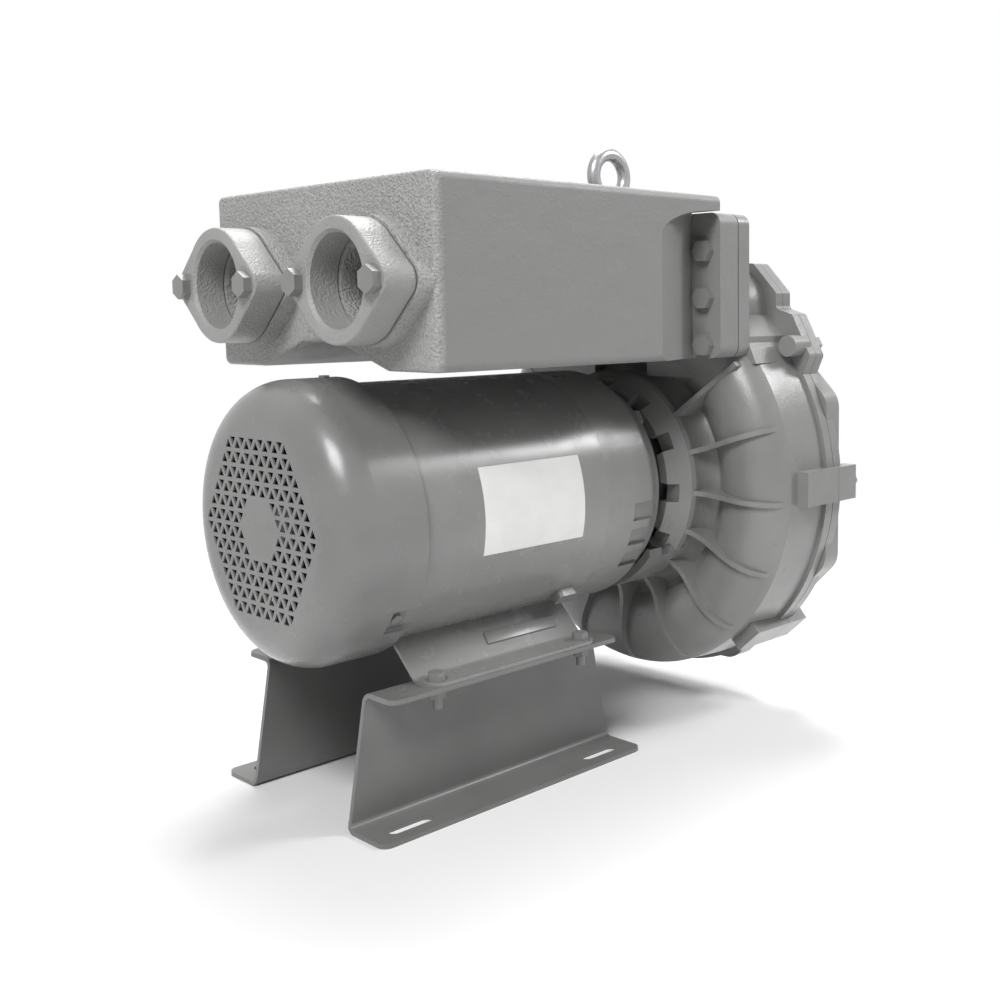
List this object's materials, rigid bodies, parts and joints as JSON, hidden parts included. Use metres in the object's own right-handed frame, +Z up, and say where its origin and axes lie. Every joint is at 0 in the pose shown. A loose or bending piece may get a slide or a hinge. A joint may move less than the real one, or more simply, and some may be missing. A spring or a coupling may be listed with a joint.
{
  "type": "side channel blower",
  "caption": "Side channel blower: ribbed ring-channel casing on a fan-cooled motor, cast silencer manifold with threaded ports above, bent sheet base brackets and lifting eye.",
  "frame": {"origin": "floor level, in the centre of the four foot slots", "axes": "+X along the shaft from the motor's fan towards the blower's cover, +Y towards the side of the terminal box, +Z up"},
  "size_m": [0.5573, 0.437, 0.5827],
  "materials": {
    "painted_casting": "semi-gloss grey paint over rough casting",
    "painted_sheet": "semi-gloss grey paint over smooth sheet",
    "painted_fastener": "grey paint",
    "gasket": "matt",
    "steel": "machined",
    "bearing_steel": "ground",
    "lamination": "stacked sheets",
    "winding": "varnished copper wire",
    "bare_aluminium": "as cast",
    "fan_plastic": "matt",
    "foam": "open foam",
    "zinc_plate": "bright zinc"
  },
  "bodies": {
    "stator": {"base_bracket_far": "painted_sheet", "base_bracket_near": "painted_sheet", "bearing_spring": "steel", "blower_casing": "painted_casting", "blower_cover": "painted_casting", "casing_gasket": "gasket", "conduit_box": "painted_casting", "conduit_box_cover": "painted_sheet", "conduit_box_gasket": "gasket", "conduit_box_screws": "painted_fastener", "cover_bolts": "painted_fastener", "drive_end_bearing_outer_ring": "bearing_steel", "drive_end_shield": "painted_casting", "eye_bolt": "zinc_plate", "fan_cover": "painted_sheet", "fan_cover_screws": "painted_fastener", "fan_end_bearing_outer_ring": "bearing_steel", "fan_end_shield": "painted_casting", "foot_bolts": "painted_fastener", "foot_nuts": "painted_fastener", "foot_washers": "painted_fastener", "manifold_bolts": "painted_fastener", "manifold_box": "painted_casting", "manifold_gasket": "gasket", "motor_face_bolts": "painted_fastener", "motor_foot": "painted_sheet", "motor_shell": "painted_sheet", "motor_tie_bolts": "painted_fastener", "port_flange_bolts": "painted_fastener", "port_flange_far": "painted_casting", "port_flange_near": "painted_casting", "port_gasket_far": "gasket", "port_gasket_near": "gasket", "shaft_seal": "gasket", "silencer_foam_far": "foam", "silencer_foam_near": "foam", "stator_core": "lamination", "stator_windings": "winding"},
    "rotor": {"rotor_shaft": "steel", "rotor_core": "lamination", "rotor_end_rings": "bare_aluminium", "drive_end_bearing_inner_ring": "bearing_steel", "fan_end_bearing_inner_ring": "bearing_steel", "cooling_fan": "fan_plastic", "fan_retaining_ring": "steel", "impeller": "bare_aluminium", "impeller_key": "steel", "impeller_washer": "steel", "impeller_bolt": "steel"},
    "drive_end_balls": {"drive_end_bearing_cage": "steel", "drive_end_bearing_balls": "bearing_steel"},
    "fan_end_balls": {"fan_end_bearing_cage": "steel", "fan_end_bearing_balls": "bearing_steel"}
  },
  "joints": [
    {"name": "rotor_spin", "type": "hinge", "parent": "stator", "child": "rotor", "pos_m": [0, 0, 0.244], "axis": [1, 0, 0], "continuous": true},
    {"name": "drive_end_cage_spin", "type": "hinge", "parent": "stator", "child": "drive_end_balls", "pos_m": [0.15, 0, 0.244], "axis": [1, 0, 0], "continuous": true},
    {"name": "fan_end_cage_spin", "type": "hinge", "parent": "stator", "child": "fan_end_balls", "pos_m": [-0.106, 0, 0.244], "axis": [1, 0, 0], "continuous": true}
  ],
  "couplings": [
    {"joint": "drive_end_cage_spin", "follows": "rotor_spin", "ratio": 0.39674},
    {"joint": "fan_end_cage_spin", "follows": "rotor_spin", "ratio": 0.3961}
  ]
}
